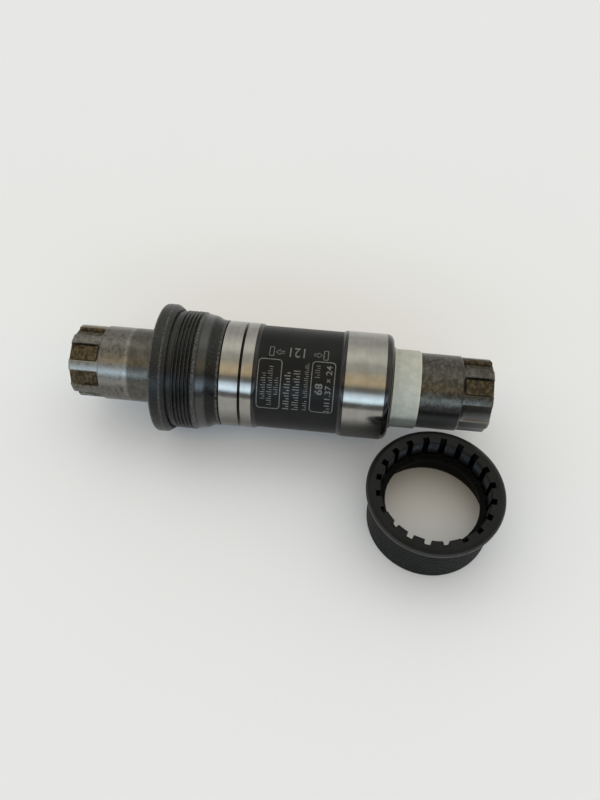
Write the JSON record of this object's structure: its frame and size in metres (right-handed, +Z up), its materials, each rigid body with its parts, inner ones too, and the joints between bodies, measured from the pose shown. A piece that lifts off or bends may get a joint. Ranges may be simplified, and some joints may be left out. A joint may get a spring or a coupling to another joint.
{
  "type": "bicycle bottom bracket",
  "caption": "Sealed cartridge bottom bracket with a hollow splined spindle, a flanged threaded drive-side cup and a separate threaded left cup.",
  "frame": {"origin": "on the ground plane, under the middle of the whole object's box", "axes": "+X along the spindle from the drive side to the left side, +Z up, -Y towards the loose left cup"},
  "size_m": [0.1254, 0.0694, 0.0378],
  "materials": {
    "spindle_steel": "turned steel, satin, oily and slightly browned",
    "black_cup": "black coating, worn and dusty on thread crests",
    "ground_steel": "fine ground, bright, with circumferential grain",
    "black_tube": null,
    "sleeve_plastic": "pale greenish grey moulded plastic",
    "bearing_steel": "polished",
    "cage_steel": "pressed sheet, satin",
    "seal_case_steel": "pressed sheet, dull",
    "seal_rubber": "matte"
  },
  "bodies": {
    "cartridge": {"fixed_cup": "black_cup", "drive_outer_race": "ground_steel", "left_outer_race": "ground_steel", "centre_tube": "black_tube", "drive_seal_case": "seal_case_steel", "drive_seal_lip": "seal_rubber", "left_seal_case": "seal_case_steel", "left_seal_lip": "seal_rubber", "drive_inner_shield": "seal_case_steel", "left_inner_shield": "seal_case_steel"},
    "spindle": {"spindle": "spindle_steel", "left_sleeve": "sleeve_plastic"},
    "drive_balls": {"drive_cage": "cage_steel", "drive_ball_01": "bearing_steel", "drive_ball_02": "bearing_steel", "drive_ball_03": "bearing_steel", "drive_ball_04": "bearing_steel", "drive_ball_05": "bearing_steel", "drive_ball_06": "bearing_steel", "drive_ball_07": "bearing_steel", "drive_ball_08": "bearing_steel", "drive_ball_09": "bearing_steel", "drive_ball_10": "bearing_steel", "drive_ball_11": "bearing_steel", "drive_ball_12": "bearing_steel"},
    "left_balls": {"left_cage": "cage_steel", "left_ball_01": "bearing_steel", "left_ball_02": "bearing_steel", "left_ball_03": "bearing_steel", "left_ball_04": "bearing_steel", "left_ball_05": "bearing_steel", "left_ball_06": "bearing_steel", "left_ball_07": "bearing_steel", "left_ball_08": "bearing_steel", "left_ball_09": "bearing_steel", "left_ball_10": "bearing_steel", "left_ball_11": "bearing_steel", "left_ball_12": "bearing_steel"},
    "left_cup": {"left_cup": "black_cup"}
  },
  "joints": [
    {"name": "spindle_spin", "type": "hinge", "parent": "cartridge", "child": "spindle", "pos_m": [-0.00217, 0.0158, 0.0189], "axis": [1, 0, 0], "continuous": true},
    {"name": "drive_cage_spin", "type": "hinge", "parent": "cartridge", "child": "drive_balls", "pos_m": [-0.01568, 0.0158, 0.0189], "axis": [1, 0, 0], "continuous": true},
    {"name": "left_cage_spin", "type": "hinge", "parent": "cartridge", "child": "left_balls", "pos_m": [0.02382, 0.0158, 0.0189], "axis": [1, 0, 0], "continuous": true},
    {"name": "left_cup_lift", "type": "slide", "parent": "cartridge", "child": "left_cup", "axis": [0, 0, 1], "range_m": [0, 0.06]}
  ],
  "couplings": [
    {"joint": "drive_cage_spin", "follows": "spindle_spin", "ratio": 0.4346},
    {"joint": "left_cage_spin", "follows": "spindle_spin", "ratio": 0.4346}
  ]
}
